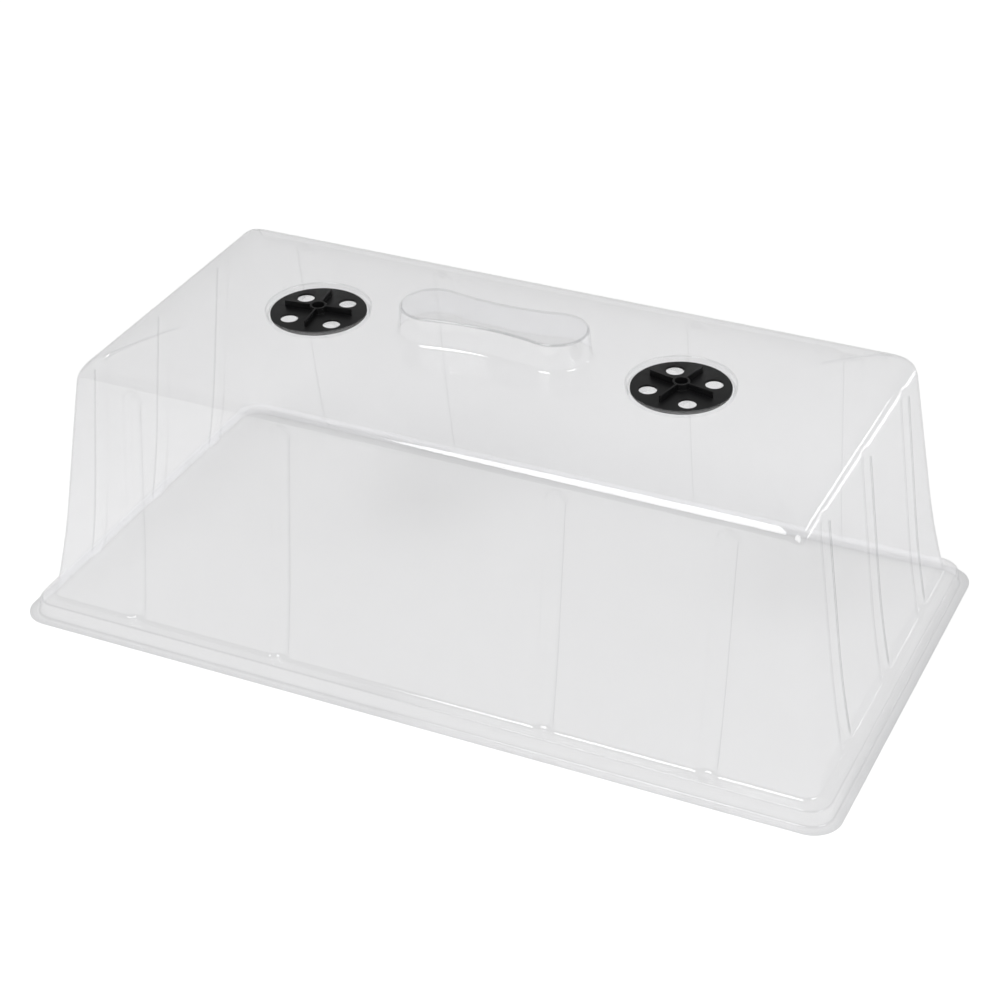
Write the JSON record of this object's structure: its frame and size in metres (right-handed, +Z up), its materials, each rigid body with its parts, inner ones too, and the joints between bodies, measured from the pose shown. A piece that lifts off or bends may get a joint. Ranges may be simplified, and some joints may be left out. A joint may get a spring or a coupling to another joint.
{
  "type": "seed tray humidity dome",
  "caption": "Clear thermoformed humidity dome for a seed tray, with a stepped flanged rim, fluted tapered walls, a raised hand grip and rotary vent dials set into its crowned top.",
  "frame": {"origin": "centre of the footprint on the flange's underside", "axes": "+X along the long side, +Y across towards the back long wall, +Z up through the top"},
  "size_m": [0.54, 0.288, 0.202],
  "materials": {
    "clear_sheet": "clear, glossy, thermoformed",
    "black_plastic": "injection moulded, semi-gloss"
  },
  "bodies": {
    "dome": {"dome": "clear_sheet"},
    "dial_left": {"vent_dial_left": "black_plastic"},
    "dial_right": {"vent_dial_right": "black_plastic"}
  },
  "joints": [
    {"name": "vent_left_turn", "type": "hinge", "parent": "dome", "child": "dial_left", "pos_m": [-0.1198, 0, 0.1805], "axis": [0, 0, 1], "continuous": true},
    {"name": "vent_right_turn", "type": "hinge", "parent": "dome", "child": "dial_right", "pos_m": [0.1198, 0, 0.1805], "axis": [0, 0, 1], "continuous": true}
  ]
}
